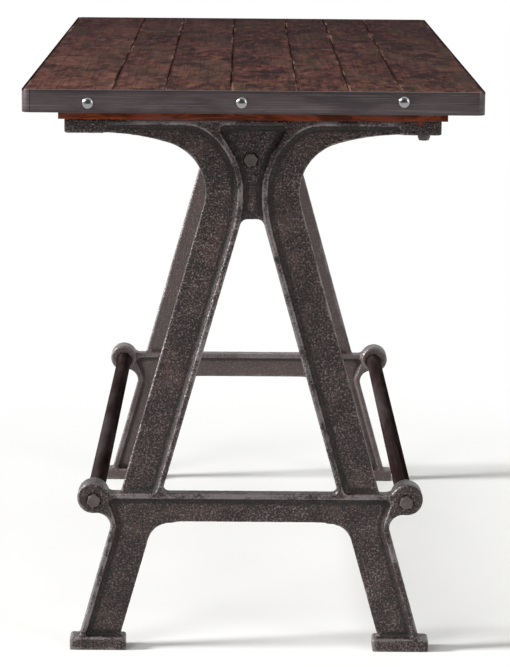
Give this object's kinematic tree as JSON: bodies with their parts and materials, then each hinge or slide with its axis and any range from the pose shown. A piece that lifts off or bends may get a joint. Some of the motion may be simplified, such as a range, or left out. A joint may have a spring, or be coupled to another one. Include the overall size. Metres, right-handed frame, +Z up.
{
  "type": "standing work table",
  "caption": "Standing-height work table: plank top in a nailed steel edge band on two cast iron A-shaped end frames, tied by round foot rails and a neck tie rod.",
  "frame": {"origin": "on the floor, under the middle of the table", "axes": "+Z up, +Y along the table's length, +X across it"},
  "size_m": [0.7729, 1.5348, 1.002],
  "materials": {
    "casting_iron": "hammered dark brown-grey casting with worn rib edges",
    "rail_steel": "satin dark drawn bar",
    "bolt_steel": "dull oiled steel",
    "top_wood": "dark reddish brown, mottled and worn along the plank edges, satin",
    "cleat_wood": "orange-red stained softwood",
    "band_steel": "dark brushed strip with scratches",
    "nail_steel": "bright polished dome"
  },
  "bodies": {
    "root": {"arm_bolts": "bolt_steel", "arm_washers": "bolt_steel", "band_nails": "nail_steel", "cleat_screws": "bolt_steel", "edge_band_front_right": "band_steel", "edge_band_rear_left": "band_steel", "foot_rail_bolts": "bolt_steel", "foot_rail_left": "rail_steel", "foot_rail_right": "rail_steel", "front_cleat": "cleat_wood", "front_end_frame": "casting_iron", "ledge_screws": "bolt_steel", "neck_tie_rod": "rail_steel", "plank_1": "top_wood", "plank_2": "top_wood", "plank_3": "top_wood", "plank_4": "top_wood", "plank_5": "top_wood", "plank_6": "top_wood", "plank_7": "top_wood", "rear_cleat": "cleat_wood", "rear_end_frame": "casting_iron", "tie_rod_bolts": "bolt_steel"}
  },
  "joints": []
}
